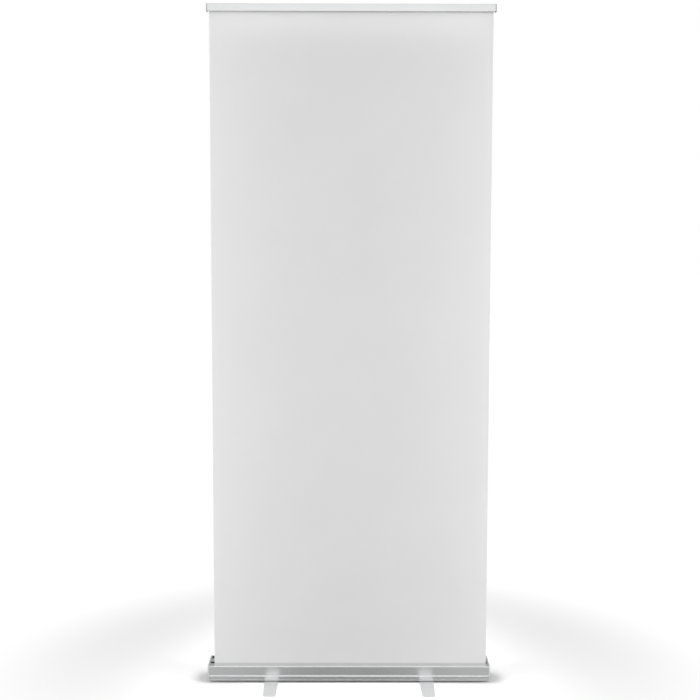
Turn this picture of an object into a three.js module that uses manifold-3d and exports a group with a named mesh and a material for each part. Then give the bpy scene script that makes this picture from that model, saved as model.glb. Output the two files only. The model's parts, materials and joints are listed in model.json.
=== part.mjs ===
// Roll-up banner stand: a spring roller in an extruded base, a printable film drawn
// up to a clamp rail, a three-section telescopic mast behind it, and two swivel feet.
// Millimetres, +Z up, the banner faces -Y. The origin is on the floor, midway between
// the two foot pivots.

import * as THREE from 'three';
import { mergeVertices } from 'three/addons/utils/BufferGeometryUtils.js';
import Module from 'manifold-3d';

const wasm = await Module();
wasm.setup();

// ---------------------------------------------------------------- driving dimensions

const GAP = 0.3;               // clearance between faces that touch or slide
const ROUND = 28;              // sides of a turned piece

// Banner film
const FILM_WIDTH = 850;
const BANNER_HEIGHT = 2001;    // from the base's top to the rail
const FILM_THICKNESS = 0.3;
const FILM_OFFSET = 4;         // the roller sits to the right of the base's middle
const FILM_Y = -9;
const FILM_IN_RAIL = 11;       // top edge held inside the rail

// Base extrusion, its section measured from the foot pivots
const BASE_SIDE_ROOM = 9;      // longer than the film at each end
const BASE_HEIGHT = 46;
const WALL = 2;
const FRONT_Y = -40;           // upper front face
const BEAD = 3;                // round rail along the front face
const BEAD_HEIGHT = 14.5;      // the bead's middle, above the base's underside
const LIP_DEPTH = 29;          // top of the front chamber, up to the slot
const SLOT_WIDTH = 18;
const CHANNEL_ROOM = 8;        // the storage channel along the back is wider than a tube
const HEM = 1;                 // downturned edge of the lip
const FELT = 2;                // thickness of the strip on the slot's rear wall
const FELT_HEIGHT = 7;
const PORT_RADIUS = 3.4;
const PORT_BORE = 1.6;

// End caps
const CAP_THICKNESS = 4.7;
const CAP_PROUD = 0.8;
const CAP_BEVEL = 1.2;
const CAP_SCREW_HEAD = 3.4;
const CAP_SCREW_RADIUS = 1.3;
const CAP_SCREW_LENGTH = 14;

// Spring roller
const ROLLER_RADIUS = 12.5;
const ROLLER_WALL = 1.2;
const ROLLER_LEFT_END = 10;    // room for the plug and pin flange, from the base's end
const ROLLER_RIGHT_END = 3;
const WINDING = 0.9;           // leader film left on the roller
const FULL_WINDING = 5.2;      // thickness of the whole film wound up
const ROLLER_ROOM = 2.5;       // between the full winding and the base's walls
const PIN_RADIUS = 4;
const ARBOR_RADIUS = 3;
const SPRING_INNER = 5;
const SPRING_OUTER = 8;
const SPRING_LENGTH = 255;
const PLUG_DEPTH = 20;

// Mast
const LOWER_RADIUS = 9.5;
const TUBE_WALL = 1.1;
const TUBE_GAP = 0.4;          // between one tube and the next
const TUBE_OVERLAP = 50;
const MAST_ROOM = 44;          // under the middle tube when the mast is down
const COLLAR_BELOW = 28;
const COLLAR_ABOVE = 20;
const COLLAR_WALL = 3.7;
const FLUTES = 10;
const SOCKET_LENGTH = 52;
const SOCKET_WALL = 1.5;
const PLUG_FLANGE = 2;
const PLUG_SHANK = 14;

// Top rail
const RAIL_SIDE_ROOM = 5;      // longer than the film at each end
const RAIL_HEIGHT = 22;
const RAIL_FRONT = -9;         // from the film's plane
const RAIL_BACK = 8;
const RAIL_WALL = 2;
const HOOK_CHANNEL = 4;
const HINGE_RADIUS = 1.5;
const HINGE_WALL = 1.6;
const RAIL_CAP = 3;
const GRIP = 2.2;
const HOOK_SLEEVE = 27;        // below the rail, over the mast's top tube
const HOOK_TUBE_DEPTH = 9;     // from the rail's underside down to the tube's top

// Feet
const FOOT_SPACING = 483;
const FOOT_LENGTH = 320;
const FOOT_WIDTH = 43;
const FOOT_TIP_WIDTH = 39;
const FOOT_THICKNESS = 2.6;
const FOOT_UNDER = 2.4;
const FOOT_BEND = 30;          // length of the down-turned end
const FOOT_DROP = 1.9;
const FOOT_CORNER = 5;
const PAD_RADIUS = 12;
const PAD_FROM_TIP = 46;
const RIVET_RADIUS = 3.4;
const WASHER = 2.4;

// ---------------------------------------------------------------- worked-out places

const footTop = FOOT_UNDER + FOOT_THICKNESS;
const baseBottom = footTop + WASHER + 2 * GAP;
const baseTop = baseBottom + BASE_HEIGHT;
const floorTop = baseBottom + WALL;
const beadZ = baseBottom + BEAD_HEIGHT;
const boxWidth = 2 * (LOWER_RADIUS + SOCKET_WALL);
const channelWidth = 2 * LOWER_RADIUS + CHANNEL_ROOM;
const lipEnd = FRONT_Y + LIP_DEPTH;
const boxFront = lipEnd + SLOT_WIDTH;
const voidFront = boxFront + WALL;
const voidBack = voidFront + boxWidth;
const channelFront = voidBack + WALL;
const channelBack = channelFront + channelWidth;
const backY = channelBack + WALL;
const halfBase = FILM_WIDTH / 2 + BASE_SIDE_ROOM;

const filmLeft = FILM_OFFSET - FILM_WIDTH / 2;
const filmRight = FILM_OFFSET + FILM_WIDTH / 2;
const fullRadius = ROLLER_RADIUS + FULL_WINDING;
const rollerY = FRONT_Y + WALL + ROLLER_ROOM + fullRadius;
const rollerZ = floorTop + ROLLER_ROOM + fullRadius;
const windingRadius = ROLLER_RADIUS + GAP + WINDING;
const filmFoot = baseTop - 4;
const railBottom = baseTop + BANNER_HEIGHT;

// Screw ports in the lower corners of the roller chamber and the mast box
const portInset = PORT_RADIUS - GAP;
const ports = [
  [FRONT_Y + WALL + portInset, floorTop + portInset],
  [voidBack - portInset, floorTop + portInset],
];

// The three tubes share the height, so that all of them come down as far as they can:
// the hook on the upper collar, the upper collar on the lower one.
const mastY = (voidFront + voidBack) / 2;
const mastFoot = floorTop + portInset + PORT_RADIUS + 2 * GAP;
const plugTop = mastFoot + GAP + PLUG_FLANGE + PLUG_SHANK;
const collarStack = 2 * COLLAR_ABOVE + COLLAR_BELOW + 2 * GAP;
const stroke = (railBottom - HOOK_SLEEVE - collarStack - TUBE_OVERLAP - plugTop - MAST_ROOM) / 3;
const middleRadius = LOWER_RADIUS - TUBE_WALL - TUBE_GAP;
const upperRadius = middleRadius - TUBE_WALL - TUBE_GAP;
const lowerTop = plugTop + MAST_ROOM + stroke + TUBE_OVERLAP;
const middleBottom = lowerTop - TUBE_OVERLAP;
const middleTop = lowerTop + COLLAR_ABOVE + stroke + GAP + COLLAR_BELOW;
const upperBottom = middleTop - TUBE_OVERLAP;
const upperTop = railBottom - HOOK_TUBE_DEPTH;
const hookBottom = railBottom - HOOK_SLEEVE;

// ---------------------------------------------------------------- materials

function finish(color, roughness, metalness) {
  return new THREE.MeshStandardMaterial({ color, roughness, metalness });
}

const FINISHES = {
  anodised: () => finish(0xc9cacc, 0.38, 0.9),
  silver_cap: () => finish(0xd9dadb, 0.45, 0.3),
  film: () => finish(0xf1f1f0, 0.55, 0),
  black_plastic: () => finish(0x26272a, 0.5, 0),
  grey_plastic: () => finish(0x8d9094, 0.5, 0),
  steel: () => finish(0xa9abae, 0.3, 1),
  rubber: () => finish(0x1d1d1e, 0.85, 0),
  felt: () => finish(0x4b4c4f, 0.95, 0),
};

// ---------------------------------------------------------------- shape helpers

function toSolid(geometry) {
  let bare = geometry.clone();
  bare.deleteAttribute('normal');
  bare.deleteAttribute('uv');
  bare = mergeVertices(bare, 1e-4);
  const corners = bare.index.array;
  const kept = [];
  for (let i = 0; i < corners.length; i += 3) {
    const [a, b, c] = corners.slice(i, i + 3);
    if (a !== b && b !== c && c !== a) kept.push(a, b, c);
  }
  return new wasm.Manifold(new wasm.Mesh({
    numProp: 3,
    vertProperties: new Float32Array(bare.attributes.position.array),
    triVerts: new Uint32Array(kept),
  }));
}

function toGeometry(solid) {
  const mesh = solid.getMesh();
  const geometry = new THREE.BufferGeometry();
  geometry.setAttribute('position', new THREE.BufferAttribute(new Float32Array(mesh.vertProperties), 3));
  geometry.setIndex(new THREE.BufferAttribute(new Uint32Array(mesh.triVerts), 1));
  geometry.computeVertexNormals();
  return geometry;
}

// Joins the first geometry with added ones, then cuts the rest away.
function carve(base, { add = [], cut = [] }) {
  let solid = toSolid(base);
  for (const extra of add) solid = solid.add(toSolid(extra));
  for (const tool of cut) solid = solid.subtract(toSolid(tool));
  return toGeometry(solid);
}

function shapeOf(points) {
  return new THREE.Shape(points.map(([a, b]) => new THREE.Vector2(a, b)));
}

// Points of an arc, in degrees, both ends included.
function arc(a, b, radius, from, to, steps = 6) {
  return Array.from({ length: steps + 1 }, (_, i) => {
    const angle = THREE.MathUtils.degToRad(from + (to - from) * i / steps);
    return [a + radius * Math.cos(angle), b + radius * Math.sin(angle)];
  });
}

// A section in Y and Z, carried along X.
function alongX(shape, from, to) {
  const geometry = new THREE.ExtrudeGeometry(shape, { depth: to - from, bevelEnabled: false });
  const turn = new THREE.Matrix4().makeBasis(
    new THREE.Vector3(0, 1, 0), new THREE.Vector3(0, 0, 1), new THREE.Vector3(1, 0, 0));
  return geometry.applyMatrix4(turn).translate(from, 0, 0);
}

// An outline in X and Y, carried up Z.
function alongZ(shape, from, to) {
  return new THREE.ExtrudeGeometry(shape, { depth: to - from, bevelEnabled: false, curveSegments: 8 })
    .translate(0, 0, from);
}

function box([x0, x1], [y0, y1], [z0, z1]) {
  return new THREE.BoxGeometry(x1 - x0, y1 - y0, z1 - z0)
    .translate((x0 + x1) / 2, (y0 + y1) / 2, (z0 + z1) / 2);
}

// A turned piece about Z. Its [radius, height] profile runs up the outside and closes.
function turned(profile, sides = ROUND) {
  const closed = [...profile, profile[0]].map(([r, h]) => new THREE.Vector2(r, h));
  return new THREE.LatheGeometry(closed, sides).rotateX(Math.PI / 2);
}

function rod(radius, from, to, sides = ROUND) {
  return new THREE.CylinderGeometry(radius, radius, to - from, sides)
    .rotateX(Math.PI / 2).translate(0, 0, (from + to) / 2);
}

function tube(inner, outer, from, to, sides = ROUND) {
  return turned([[outer, from], [outer, to], [inner, to], [inner, from]], sides);
}

// Lays a piece made about Z along X, its heights becoming X.
function layAlongX(geometry) {
  return geometry.rotateY(Math.PI / 2);
}

function roundedRect(a0, b0, a1, b1, radius, steps = 4) {
  return shapeOf([
    ...arc(a1 - radius, b0 + radius, radius, -90, 0, steps),
    ...arc(a1 - radius, b1 - radius, radius, 0, 90, steps),
    ...arc(a0 + radius, b1 - radius, radius, 90, 180, steps),
    ...arc(a0 + radius, b0 + radius, radius, 180, 270, steps),
  ]);
}

// ---------------------------------------------------------------- assembly

const stand = new THREE.Group();

function group(parent, x, y, z) {
  const made = new THREE.Group();
  made.position.set(x, y, z);
  parent.add(made);
  return made;
}

function piece(parent, name, slot, geometry, [x, y, z] = [0, 0, 0]) {
  const mesh = new THREE.Mesh(geometry, FINISHES[slot]());
  mesh.name = name;
  mesh.position.set(x, y, z);
  parent.add(mesh);
}

const footPivots = [-FOOT_SPACING / 2, FOOT_SPACING / 2];
const socketScrews = [-SOCKET_LENGTH / 2 + 8, SOCKET_LENGTH / 2 - 8];

// ---------------------------------------------------------------- base

function housingShape() {
  return shapeOf([
    [lipEnd, baseTop],
    ...arc(FRONT_Y + 2.5, baseTop - 2.5, 2.5, 90, 180, 5),
    ...arc(FRONT_Y, beadZ, BEAD, 90, 270, 10),
    [FRONT_Y, baseBottom + 3.6],
    [FRONT_Y - 1.6, baseBottom + 2.6],
    [FRONT_Y - 1.6, baseBottom + 0.6],
    [FRONT_Y - 1, baseBottom],
    [backY - 1.5, baseBottom],
    [backY, baseBottom + 1.5],
    ...arc(backY - WALL / 2, baseTop - WALL / 2, WALL / 2, 0, 180, 6),
    [channelBack, floorTop],
    [channelFront, floorTop],
    [channelFront, baseTop - 1],
    [channelFront - 1, baseTop],
    [boxFront + 1, baseTop],
    [boxFront, baseTop - 1],
    [boxFront, floorTop],
    [FRONT_Y + WALL, floorTop],
    [FRONT_Y + WALL, baseTop - WALL],
    [lipEnd - WALL, baseTop - WALL],
    [lipEnd - WALL + 0.5, baseTop - WALL - HEM],
    [lipEnd, baseTop - WALL - HEM],
  ]);
}

function housing() {
  const mastBox = box([-halfBase - 1, halfBase + 1], [voidFront, voidBack], [floorTop, baseTop - WALL]);
  const hollow = carve(alongX(housingShape(), -halfBase, halfBase), { cut: [mastBox] });
  const bosses = ports.map(([y, z]) =>
    layAlongX(rod(PORT_RADIUS, -halfBase, halfBase, 14)).translate(0, y, z));
  const bores = ports.map(([y, z]) =>
    layAlongX(rod(PORT_BORE, -halfBase - 1, halfBase + 1, 12)).translate(0, y, z));
  const pivotHoles = footPivots.map((x) =>
    rod(RIVET_RADIUS + GAP, baseBottom - 1, floorTop + 1, 18).translate(x, 0, 0));
  const screwHoles = socketScrews.map((x) =>
    rod(PORT_BORE + GAP, baseBottom - 1, floorTop + 1, 12).translate(x, mastY, 0));
  const mastHole = rod(LOWER_RADIUS + GAP + 0.1, baseTop - WALL - 1, baseTop + 1)
    .translate(0, mastY, 0);
  return carve(hollow, {
    add: bosses,
    cut: [...bores, ...pivotHoles, ...screwHoles, mastHole],
  });
}

// End cap: a plate to the base's silhouette with bevelled edges, holed for its two
// screws and for the roller's pin or arbor. side is -1 on the left, +1 on the right.
function endCap(side, axleRadius) {
  const inset = CAP_BEVEL - CAP_PROUD;
  const front = FRONT_Y + inset;
  const outline = shapeOf([
    ...arc(front + 5, baseTop - inset - 5, 5, 90, 180, 5),
    [front, beadZ + BEAD + 1],
    ...arc(front, beadZ, BEAD - inset, 90, 270, 8),
    [front, baseBottom + inset + 1],
    [front + 1, baseBottom + inset],
    [backY - inset - 3, baseBottom + inset],
    [backY - inset, baseBottom + inset + 3],
    ...arc(backY - inset - 5, baseTop - inset - 5, 5, 0, 90, 5),
  ]);
  const plate = new THREE.ExtrudeGeometry(outline, {
    depth: CAP_THICKNESS - 2 * CAP_BEVEL,
    bevelEnabled: true,
    bevelThickness: CAP_BEVEL,
    bevelSize: CAP_BEVEL,
    bevelSegments: 3,
  }).translate(0, 0, CAP_BEVEL);
  const turn = new THREE.Matrix4().makeBasis(
    new THREE.Vector3(0, 1, 0), new THREE.Vector3(0, 0, 1), new THREE.Vector3(1, 0, 0));
  const inner = halfBase + GAP;
  plate.applyMatrix4(turn).translate(side > 0 ? inner : -inner - CAP_THICKNESS, 0, 0);
  const ends = [-inner - CAP_THICKNESS - 1, inner + CAP_THICKNESS + 1];
  const faces = side > 0 ? [inner - 1, ends[1]] : [ends[0], -inner + 1];
  const sunk = side > 0
    ? [inner + CAP_THICKNESS - 2.4, ends[1]]
    : [ends[0], -inner - CAP_THICKNESS + 2.4];
  return carve(plate, {
    cut: [
      layAlongX(rod(axleRadius + GAP, ...faces, 20)).translate(0, rollerY, rollerZ),
      ...ports.flatMap(([y, z]) => [
        layAlongX(rod(CAP_SCREW_RADIUS + GAP, ...faces, 12)).translate(0, y, z),
        layAlongX(rod(CAP_SCREW_HEAD + GAP, ...sunk, 16)).translate(0, y, z),
      ]),
    ],
  });
}

// Domed screw with a cross recess, made pointing down: its head above z = 0.
function screw(headRadius, headHeight, radius, length, slot = 0.45) {
  const body = turned([
    [0, -length], [radius * 0.6, -length], [radius, -length + radius],
    [radius, 0], [headRadius, 0], [headRadius, headHeight * 0.45],
    [headRadius * 0.8, headHeight * 0.85], [headRadius * 0.4, headHeight], [0, headHeight],
  ], 16);
  const depth = [headHeight * 0.4, headHeight + 1];
  const arm = headRadius * 0.55;
  return carve(body, {
    cut: [box([-arm, arm], [-slot, slot], depth), box([-slot, slot], [-arm, arm], depth)],
  });
}

const base = group(stand, 0, 0, 0);
piece(base, 'base_housing', 'anodised', housing());
piece(base, 'end_cap_left', 'silver_cap', endCap(-1, PIN_RADIUS));
piece(base, 'end_cap_right', 'silver_cap', endCap(1, ARBOR_RADIUS));

const seat = halfBase + GAP + CAP_THICKNESS - 2.4 + GAP;
for (const [side, word] of [[-1, 'left'], [1, 'right']]) {
  ports.forEach(([y, z], i) => {
    const geometry = screw(CAP_SCREW_HEAD, 1.7, CAP_SCREW_RADIUS, CAP_SCREW_LENGTH)
      .rotateY(side * Math.PI / 2);
    piece(base, `cap_screw_${word}_${['front', 'rear'][i]}`, 'steel', geometry, [side * seat, y, z]);
  });
}

// Felt strip under the lip, which wipes the film as it runs
piece(base, 'slot_wiper', 'felt', box(
  [-halfBase + 4, halfBase - 4],
  [lipEnd - 5.5, FILM_Y - FILM_THICKNESS / 2 - GAP],
  [baseTop - WALL - HEM - GAP - 1.7, baseTop - WALL - HEM - GAP]));

// Felt strip on the slot's rear wall, which keeps the film off the metal
piece(base, 'slot_felt', 'felt', box(
  [-halfBase + 4, halfBase - 4],
  [boxFront - GAP - FELT, boxFront - GAP],
  [baseTop - 1.5 - FELT_HEIGHT, baseTop - 1.5]));

// ---------------------------------------------------------------- roller

const tubeLeft = -halfBase + ROLLER_LEFT_END;
const tubeRight = halfBase - ROLLER_RIGHT_END;
const roller = group(base, 0, rollerY, rollerZ);
const plugRadius = ROLLER_RADIUS - ROLLER_WALL - GAP;

piece(roller, 'roller_tube', 'anodised',
  layAlongX(tube(ROLLER_RADIUS - ROLLER_WALL, ROLLER_RADIUS, tubeLeft, tubeRight)));

function rollerPlug(bore, flange, from, to) {
  return turned([
    [plugRadius, from], [plugRadius, to], [ROLLER_RADIUS, to], [ROLLER_RADIUS, to + flange],
    [bore, to + flange], [bore, from],
  ]);
}

// The left plug is made pointing right, then turned round to face left.
piece(roller, 'roller_plug_left', 'grey_plastic',
  layAlongX(rollerPlug(PIN_RADIUS + GAP, 4.5, -PLUG_DEPTH, GAP)).rotateZ(Math.PI),
  [tubeLeft, 0, 0]);
piece(roller, 'roller_plug_right', 'grey_plastic',
  layAlongX(rollerPlug(ARBOR_RADIUS + GAP, 1.6, -PLUG_DEPTH, GAP)), [tubeRight, 0, 0]);
piece(roller, 'film_winding', 'film',
  layAlongX(tube(ROLLER_RADIUS + GAP, windingRadius, filmLeft, filmRight)));

// Fixed pin that the roller's left end turns on, with the shoulder that spaces it
const shoulder = [-halfBase + GAP, tubeLeft - GAP - 4.5 - GAP];
piece(roller, 'roller_pin', 'steel', layAlongX(turned([
  [0, -halfBase - CAP_THICKNESS], [PIN_RADIUS, -halfBase - CAP_THICKNESS],
  [PIN_RADIUS, shoulder[0]], [6.5, shoulder[0]], [6.5, shoulder[1]],
  [PIN_RADIUS, shoulder[1]], [PIN_RADIUS, tubeLeft + PLUG_DEPTH - 2], [0, tubeLeft + PLUG_DEPTH - 2],
])));

// Spring motor: arbor fixed in the right cap, anchor on its inner end, torsion spring
const springEnd = tubeRight - PLUG_DEPTH - 5;
const springStart = springEnd - SPRING_LENGTH;
piece(roller, 'spring_arbor', 'steel',
  layAlongX(rod(ARBOR_RADIUS, springStart - 22, halfBase + CAP_THICKNESS - GAP)));
piece(roller, 'spring_anchor', 'grey_plastic',
  layAlongX(tube(ARBOR_RADIUS + GAP, plugRadius - 0.5, springStart - 18, springStart - GAP)));
piece(roller, 'torsion_spring', 'steel',
  layAlongX(tube(SPRING_INNER, SPRING_OUTER, springStart, springEnd, 20)));

// Leader film from the back of the winding up into the slot, on the line that leaves
// the winding as a tangent
function leaderShape() {
  const radius = windingRadius + GAP;
  const end = [FILM_Y, filmFoot - GAP];
  const reach = [end[0] - rollerY, end[1] - rollerZ];
  const distance = Math.hypot(...reach);
  const angle = Math.atan2(reach[1], reach[0]) - Math.acos(radius / distance);
  const start = [rollerY + radius * Math.cos(angle), rollerZ + radius * Math.sin(angle)];
  const t = FILM_THICKNESS;
  return shapeOf([start, [start[0] + t, start[1]], [end[0] + t, end[1]], end]);
}
piece(base, 'leader_film', 'film', alongX(leaderShape(), filmLeft + 2, filmRight - 2));

// ---------------------------------------------------------------- mast socket and mast

const mast = group(base, 0, mastY, 0);

function socket() {
  const half = boxWidth / 2 - GAP;
  const block = alongZ(roundedRect(-SOCKET_LENGTH / 2, -half, SOCKET_LENGTH / 2, half, 3),
    floorTop + GAP, baseTop - WALL - GAP);
  return carve(block, {
    cut: [
      rod(LOWER_RADIUS + GAP, mastFoot, baseTop),
      ...socketScrews.map((x) => rod(PORT_BORE + GAP, floorTop, 24, 12).translate(x, 0, 0)),
      box([-SOCKET_LENGTH, SOCKET_LENGTH],
        [ports[1][0] - mastY - PORT_RADIUS - GAP, boxWidth],
        [floorTop, ports[1][1] + PORT_RADIUS + GAP]),
    ],
  });
}
piece(mast, 'mast_socket', 'black_plastic', socket());
socketScrews.forEach((x, i) => {
  piece(mast, `socket_screw_${['left', 'right'][i]}`, 'steel',
    screw(3.3, 1.6, PORT_BORE, 14).rotateX(Math.PI), [x, 0, baseBottom - GAP]);
});

// A tube's end plug: a shank inside the tube and a flange at its foot
function footPlug(tubeRadius, from) {
  const inner = tubeRadius - TUBE_WALL - GAP;
  const neck = from + PLUG_FLANGE;
  const end = neck + PLUG_SHANK;
  return turned([
    [0, from], [tubeRadius - 0.6, from], [tubeRadius, from + 0.6], [tubeRadius, neck],
    [inner, neck], [inner, end], [0, end],
  ]);
}

// Twist-lock collar over the top of one tube, closing on the next
function collar(lowerRadius, nextRadius, top) {
  const bottom = top - COLLAR_BELOW;
  const end = top + COLLAR_ABOVE;
  const wide = lowerRadius + COLLAR_WALL;
  const flutes = Array.from({ length: FLUTES * 6 }, (_, i) => {
    const angle = i / (FLUTES * 6) * 2 * Math.PI;
    const r = wide - 0.35 + 0.35 * Math.cos(FLUTES * angle);
    return [r * Math.cos(angle), r * Math.sin(angle)];
  });
  const nose = turned([
    [0, end - 6], [wide - 0.9, end - 6], [wide - 0.9, end - 3], [nextRadius + 2, end], [0, end],
  ]);
  return carve(alongZ(shapeOf(flutes), bottom, end - 5), {
    add: [nose],
    cut: [
      rod(lowerRadius + GAP, bottom - 1, top + GAP),
      rod(nextRadius + GAP, top, end + 1),
    ],
  });
}

piece(mast, 'mast_lower_plug', 'black_plastic', footPlug(LOWER_RADIUS, mastFoot + GAP));
piece(mast, 'mast_lower_tube', 'anodised',
  tube(LOWER_RADIUS - TUBE_WALL, LOWER_RADIUS, mastFoot + 2 * GAP + PLUG_FLANGE, lowerTop));
piece(mast, 'lock_collar_lower', 'black_plastic', collar(LOWER_RADIUS, middleRadius, lowerTop));
piece(mast, 'mast_middle_plug', 'black_plastic', footPlug(middleRadius, middleBottom - PLUG_FLANGE - GAP));
piece(mast, 'mast_middle_tube', 'anodised',
  tube(middleRadius - TUBE_WALL, middleRadius, middleBottom, middleTop));
piece(mast, 'lock_collar_upper', 'black_plastic', collar(middleRadius, upperRadius, middleTop));
piece(mast, 'mast_upper_plug', 'black_plastic', footPlug(upperRadius, upperBottom - PLUG_FLANGE - GAP));
piece(mast, 'mast_upper_tube', 'anodised',
  tube(upperRadius - TUBE_WALL, upperRadius, upperBottom, upperTop));

// ---------------------------------------------------------------- top rail

const rail = group(stand, FILM_OFFSET, FILM_Y, railBottom);
const halfRail = FILM_WIDTH / 2 + RAIL_SIDE_ROOM;
const hingeY = RAIL_FRONT + HINGE_RADIUS + GAP + HINGE_WALL;
const hingeZ = RAIL_HEIGHT - HINGE_RADIUS - GAP - HINGE_WALL;
const hookLip = RAIL_BACK + HOOK_CHANNEL;
const ribTop = 9;
const ribY = GRIP + FILM_THICKNESS / 2 + 2 * GAP;    // face of each rib, either side of the film

// Back shell: wall, foot with a rib for its grip, roof with the hook lip behind, and
// the hinge bead on a neck in front.
function railShellShape() {
  const neck = 0.5;
  const neckSpan = THREE.MathUtils.radToDeg(Math.asin(neck / HINGE_RADIUS));
  const lipFoot = RAIL_HEIGHT - 12.5;
  return shapeOf([
    [RAIL_BACK, 0],
    [RAIL_BACK, RAIL_HEIGHT - 2 - RAIL_WALL],
    [hookLip, RAIL_HEIGHT - 2 - RAIL_WALL],
    [hookLip, lipFoot],
    [hookLip + 1.6, lipFoot],
    [hookLip + 1.6, RAIL_HEIGHT - 2],
    [hookLip + 0.6, RAIL_HEIGHT - 1],
    [hingeY + 5, RAIL_HEIGHT - 1],
    [hingeY + 4.2, RAIL_HEIGHT - 1.8],
    [hingeY + 4.2, hingeZ + neck],
    ...arc(hingeY, hingeZ, HINGE_RADIUS, neckSpan, 360 - neckSpan, 14),
    [hingeY + 5.8, hingeZ - neck],
    [hingeY + 5.8, RAIL_HEIGHT - 1 - RAIL_WALL],
    [RAIL_BACK - RAIL_WALL, RAIL_HEIGHT - 1 - RAIL_WALL],
    [RAIL_BACK - RAIL_WALL, RAIL_WALL],
    [ribY + 1.6, RAIL_WALL],
    [ribY + 1.6, ribTop],
    [ribY, ribTop],
    [ribY, 0],
  ]);
}

// Front jaw: the face that shows, the socket that turns on the bead, and a foot with a rib.
function railJawShape() {
  const socketRadius = HINGE_RADIUS + GAP;
  const outer = socketRadius + HINGE_WALL;
  return shapeOf([
    ...arc(hingeY, hingeZ, outer, 95, 180, 7),
    ...arc(RAIL_FRONT + 1, 1, 1, 180, 270, 3),
    [-ribY, 0],
    [-ribY, ribTop],
    [-ribY - 1.6, ribTop],
    [-ribY - 1.6, RAIL_WALL],
    [RAIL_FRONT + RAIL_WALL, RAIL_WALL],
    [RAIL_FRONT + RAIL_WALL, hingeZ - outer],
    ...arc(hingeY, hingeZ, outer, 240, 330, 6),
    ...arc(hingeY, hingeZ, socketRadius, 330, 95, 16),
  ]);
}

piece(rail, 'rail_shell', 'anodised', alongX(railShellShape(), -halfRail, halfRail));
piece(rail, 'rail_jaw', 'anodised', alongX(railJawShape(), -halfRail, halfRail));
const gripFace = FILM_THICKNESS / 2 + GAP;
const gripZ = [RAIL_WALL + GAP, ribTop - GAP];
piece(rail, 'rail_grip_front', 'rubber',
  box([-halfRail + 3, halfRail - 3], [-gripFace - GRIP, -gripFace], gripZ));
piece(rail, 'rail_grip_back', 'rubber',
  box([-halfRail + 3, halfRail - 3], [gripFace, gripFace + GRIP], gripZ));

function railCap(side) {
  const outline = roundedRect(RAIL_FRONT - 0.4, -0.4, hookLip + 2, RAIL_HEIGHT + 0.2, 2.2);
  const plate = side > 0
    ? alongX(outline, halfRail + GAP, halfRail + GAP + RAIL_CAP)
    : alongX(outline, -halfRail - GAP - RAIL_CAP, -halfRail - GAP);
  const root = halfRail + GAP + 1;
  const span = side > 0 ? [halfRail - 12, root] : [-root, -halfRail + 12];
  const peg = layAlongX(rod(1.8, ...span, 14)).translate(0, RAIL_BACK - RAIL_WALL - 2.4, 13.5);
  return carve(plate, { add: [peg] });
}
piece(rail, 'rail_cap_left', 'silver_cap', railCap(-1));
piece(rail, 'rail_cap_right', 'silver_cap', railCap(1));

// Hook on the mast's top: a sleeve over the tube, an arm and a tongue up into the rail
function mastHook() {
  const tongue = [FILM_Y + RAIL_BACK + GAP - mastY + 0.4, FILM_Y + hookLip - GAP - mastY];
  const armTop = railBottom + 5;
  const armBottom = armTop - 16;
  return carve(rod(upperRadius + 3, hookBottom, armTop), {
    add: [
      box([-9, 9], [tongue[0], 0], [armBottom, armTop]),
      box([-20, 20], tongue, [armBottom + 2, railBottom + RAIL_HEIGHT - 2 - RAIL_WALL - GAP]),
    ],
    cut: [rod(upperRadius + GAP, hookBottom - 1, upperTop + GAP)],
  });
}
piece(mast, 'mast_hook', 'black_plastic', mastHook());

piece(stand, 'banner_film', 'film', box(
  [filmLeft, filmRight],
  [FILM_Y - FILM_THICKNESS / 2, FILM_Y + FILM_THICKNESS / 2],
  [filmFoot, railBottom + FILM_IN_RAIL]));

// ---------------------------------------------------------------- feet

// Bar with down-turned ends: its side view carried across, trimmed to its plan outline
function footBar() {
  const half = FOOT_LENGTH / 2;
  const side = shapeOf([
    [-half, footTop - FOOT_DROP], [-half, FOOT_UNDER - FOOT_DROP],
    [-half + FOOT_BEND, FOOT_UNDER], [half - FOOT_BEND, FOOT_UNDER],
    [half, FOOT_UNDER - FOOT_DROP], [half, footTop - FOOT_DROP],
    [half - FOOT_BEND, footTop], [-half + FOOT_BEND, footTop],
  ]);
  const wide = FOOT_WIDTH / 2;
  const tip = FOOT_TIP_WIDTH / 2;
  const plan = shapeOf([
    [wide, -half * 0.35], [wide, half * 0.35],
    ...arc(tip - FOOT_CORNER, half - FOOT_CORNER, FOOT_CORNER, 0, 90, 5),
    ...arc(-tip + FOOT_CORNER, half - FOOT_CORNER, FOOT_CORNER, 90, 180, 5),
    [-wide, half * 0.35], [-wide, -half * 0.35],
    ...arc(-tip + FOOT_CORNER, -half + FOOT_CORNER, FOOT_CORNER, 180, 270, 5),
    ...arc(tip - FOOT_CORNER, -half + FOOT_CORNER, FOOT_CORNER, 270, 360, 5),
  ]);
  const bar = toSolid(alongX(side, -wide - 1, wide + 1));
  const trimmed = bar.intersect(toSolid(alongZ(plan, -1, footTop + 1)));
  return toGeometry(trimmed.subtract(toSolid(rod(RIVET_RADIUS + GAP, -1, footTop + 1, 18))));
}

function rivet() {
  const under = FOOT_UNDER - GAP;
  const over = floorTop + GAP;
  return turned([
    [0, under - 1.6], [5.5, under - 1.6], [7, under - 0.6], [7, under],
    [RIVET_RADIUS, under], [RIVET_RADIUS, over], [5.5, over], [4.5, over + 1.5], [0, over + 1.5],
  ], 20);
}

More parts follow.
